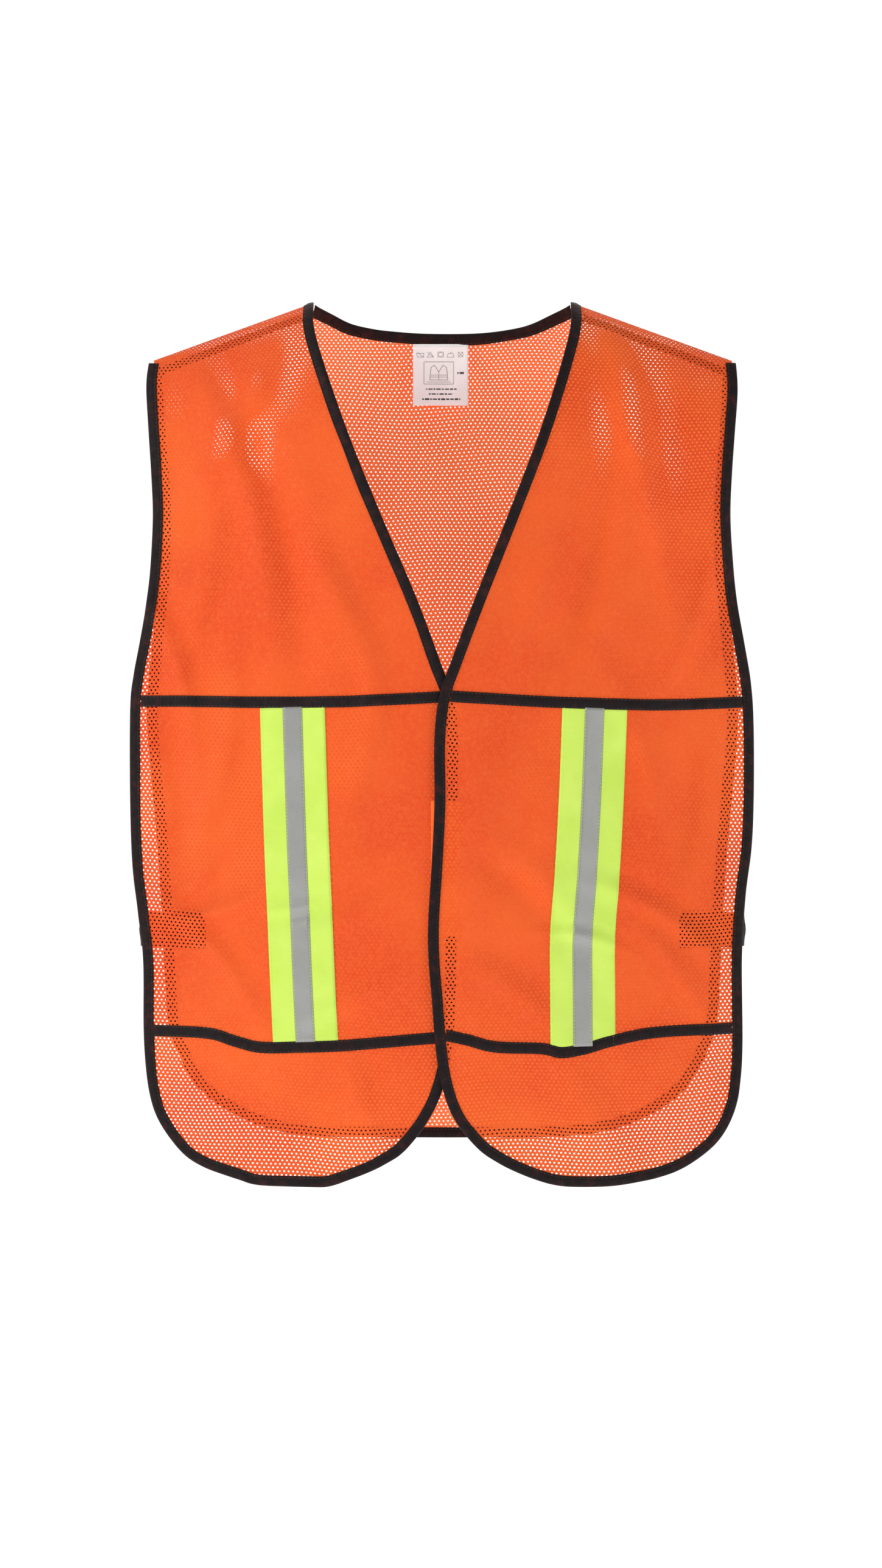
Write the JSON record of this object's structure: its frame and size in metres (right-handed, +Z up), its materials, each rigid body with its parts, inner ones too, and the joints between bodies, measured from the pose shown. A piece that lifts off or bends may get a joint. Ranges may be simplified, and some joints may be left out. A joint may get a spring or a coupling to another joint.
{
  "type": "high visibility vest",
  "caption": "Sleeveless V-neck mesh safety vest with dark edge binding, lime and silver tapes, side elastics and a hook-and-loop front closure.",
  "frame": {"origin": "midway between the two neck points, at the height of the shoulder seams, where the wearer's shoulders carry the vest", "axes": "+Z up, -Y towards the front of the vest, +X towards the wearer's left"},
  "size_m": [0.4952, 0.176, 0.7004],
  "materials": {
    "mesh": "fluorescent orange hexagonal-hole warp-knit mesh",
    "binding": "near-black folded polyester edge binding",
    "cross_tape": "near-black narrow woven tape",
    "lime_tape": "fluorescent lime ribbed woven tape",
    "silver": "grey silver reflective strip, fine grained",
    "hooks": "orange hook tape",
    "loops": "orange loop tape",
    "elastic": "black woven elastic",
    "seam_tape": "near-black narrow seam tape",
    "label": "white satin ribbon"
  },
  "bodies": {
    "root": {"back_chest_tape": "cross_tape", "back_edge_binding": "binding", "back_neck_binding": "binding", "back_panel": "mesh", "back_waist_tape": "cross_tape", "left_armhole_binding": "binding", "left_back_colour_tape": "lime_tape", "left_back_silver_strip": "silver", "left_chest_tape_end": "cross_tape", "left_front_shoulder_panel": "mesh", "left_neck_binding": "binding", "left_shoulder_seam_tape": "seam_tape", "left_side_elastic": "elastic", "right_armhole_binding": "binding", "right_back_colour_tape": "lime_tape", "right_back_silver_strip": "silver", "right_chest_tape_end": "cross_tape", "right_front_shoulder_panel": "mesh", "right_neck_binding": "binding", "right_shoulder_seam_tape": "seam_tape", "right_side_elastic": "elastic"},
    "right_front": {"hook_strip": "hooks", "right_chest_tape": "cross_tape", "right_front_colour_tape": "lime_tape", "right_front_opening_panel": "mesh", "right_front_silver_strip": "silver", "right_opening_binding": "binding", "right_waist_tape": "cross_tape"},
    "left_front": {"left_chest_tape": "cross_tape", "left_front_colour_tape": "lime_tape", "left_front_opening_panel": "mesh", "left_front_silver_strip": "silver", "left_opening_binding": "binding", "left_waist_tape": "cross_tape", "loop_strip": "loops"},
    "label": {"care_label": "label"}
  },
  "joints": [
    {"name": "right_front_open", "type": "hinge", "parent": "root", "child": "right_front", "pos_m": [0.084, -0.0916, -0.074], "axis": [-0.314, -0.1008, 0.9441], "range_deg": [0, 105]},
    {"name": "left_front_open", "type": "hinge", "parent": "root", "child": "left_front", "pos_m": [-0.084, -0.0916, -0.074], "axis": [-0.314, 0.1008, -0.9441], "range_deg": [0, 105]},
    {"name": "label_flip", "type": "hinge", "parent": "root", "child": "label", "pos_m": [-0.0015, 0.0565, -0.0275], "axis": [-1, 0, 0], "range_deg": [0, 110]}
  ]
}
